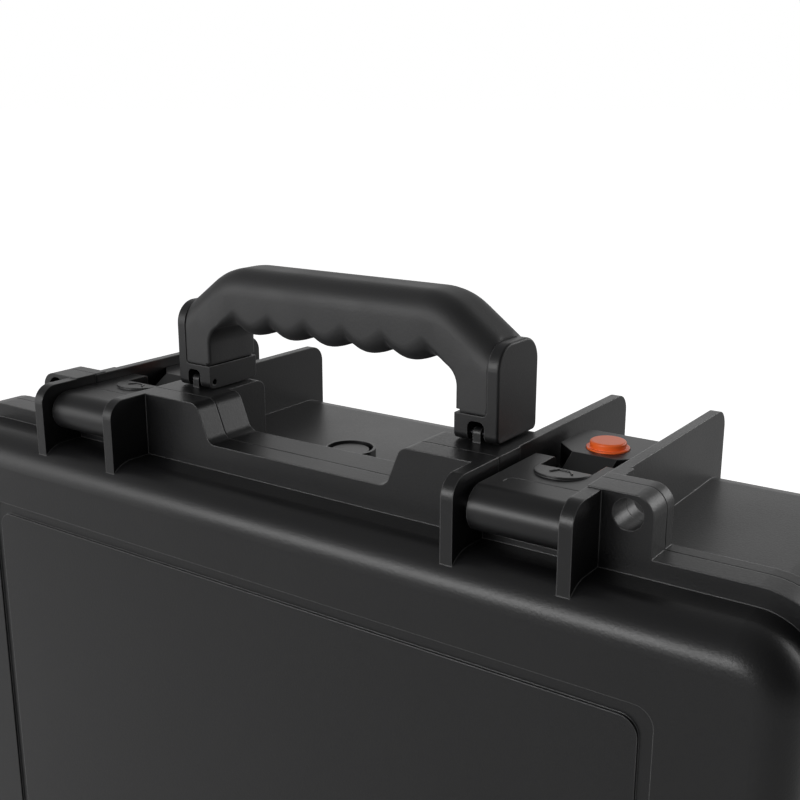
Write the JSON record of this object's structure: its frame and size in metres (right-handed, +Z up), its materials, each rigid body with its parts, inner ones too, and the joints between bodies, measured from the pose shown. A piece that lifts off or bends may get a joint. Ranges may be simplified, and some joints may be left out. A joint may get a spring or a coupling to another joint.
{
  "type": "laptop hard case",
  "caption": "Rugged two-shell carrying case for a laptop, with a bottom-hinged lid, button-release lever latches, a fold-down grip handle, padlock ears and a pressure valve.",
  "frame": {"origin": "under the middle of the standing case, on the surface that its feet stand on", "axes": "+X along the case's length to the right seen from the lid's side, +Y from the lid to the back of the base, +Z up from the feet to the handle"},
  "size_m": [0.433, 0.154, 0.401],
  "materials": {
    "shell_plastic": "fine moulded grain, satin",
    "latch_plastic": "satin, smooth",
    "handle_plastic": "fine moulded grain, satin",
    "grip_rubber": "soft matte overmould",
    "button_plastic": "satin orange",
    "valve_plastic": "semi-gloss",
    "seal_rubber": "smooth silicone",
    "foot_rubber": "matte rubber",
    "foam": "open-cell foam",
    "pin_steel": "ground stainless steel",
    "spring_steel": "drawn spring wire",
    "screw_steel": "stainless steel"
  },
  "bodies": {
    "base": {"base_shell": "shell_plastic", "base_foam": "foam", "valve_body": "valve_plastic", "valve_cap": "valve_plastic", "valve_nut": "valve_plastic", "valve_seal": "seal_rubber", "block_screws": "screw_steel", "release_block_left": "latch_plastic", "release_block_right": "latch_plastic", "hinge_pin_left": "pin_steel", "hinge_pin_right": "pin_steel", "handle_pin_left": "pin_steel", "handle_pin_right": "pin_steel", "foot_base_left": "foot_rubber", "foot_base_right": "foot_rubber", "button_spring_left": "spring_steel", "button_spring_right": "spring_steel"},
    "lid": {"lid_shell": "shell_plastic", "lid_gasket": "seal_rubber", "lid_foam": "foam", "latch_pin_left": "pin_steel", "latch_pin_right": "pin_steel", "foot_lid_left": "foot_rubber", "foot_lid_right": "foot_rubber"},
    "handle": {"handle_frame": "handle_plastic", "handle_grip": "grip_rubber"},
    "latch_left": {"latch_lever_left": "latch_plastic"},
    "button_left": {"push_button_left": "button_plastic"},
    "bolt_left": {"lock_bolt_left": "latch_plastic"},
    "latch_right": {"latch_lever_right": "latch_plastic"},
    "button_right": {"push_button_right": "button_plastic"},
    "bolt_right": {"lock_bolt_right": "latch_plastic"}
  },
  "joints": [
    {"name": "lid_hinge", "type": "hinge", "parent": "base", "child": "lid", "pos_m": [0, -0.042, 0.0045], "axis": [1, 0, 0], "range_deg": [0, 105]},
    {"name": "handle_hinge", "type": "hinge", "parent": "base", "child": "handle", "pos_m": [0, -0.03, 0.3499], "axis": [1, 0, 0], "range_deg": [0, 90]},
    {"name": "latch_left_hinge", "type": "hinge", "parent": "lid", "child": "latch_left", "pos_m": [-0.109, -0.06, 0.3341], "axis": [1, 0, 0], "range_deg": [0, 105]},
    {"name": "button_left_press", "type": "slide", "parent": "base", "child": "button_left", "axis": [0, 0, -1], "range_m": [0, 0.0025], "stiffness_N_per_m": 400, "deforming": ["button_spring_left"]},
    {"name": "bolt_left_slide", "type": "slide", "parent": "base", "child": "bolt_left", "axis": [0, 1, 0], "range_m": [0, 0.0025]},
    {"name": "latch_right_hinge", "type": "hinge", "parent": "lid", "child": "latch_right", "pos_m": [0.109, -0.06, 0.3341], "axis": [1, 0, 0], "range_deg": [0, 105]},
    {"name": "button_right_press", "type": "slide", "parent": "base", "child": "button_right", "axis": [0, 0, -1], "range_m": [0, 0.0025], "stiffness_N_per_m": 400, "deforming": ["button_spring_right"]},
    {"name": "bolt_right_slide", "type": "slide", "parent": "base", "child": "bolt_right", "axis": [0, 1, 0], "range_m": [0, 0.0025]}
  ],
  "couplings": [
    {"joint": "bolt_left_slide", "follows": "button_left_press", "ratio": 1},
    {"joint": "bolt_right_slide", "follows": "button_right_press", "ratio": 1}
  ]
}
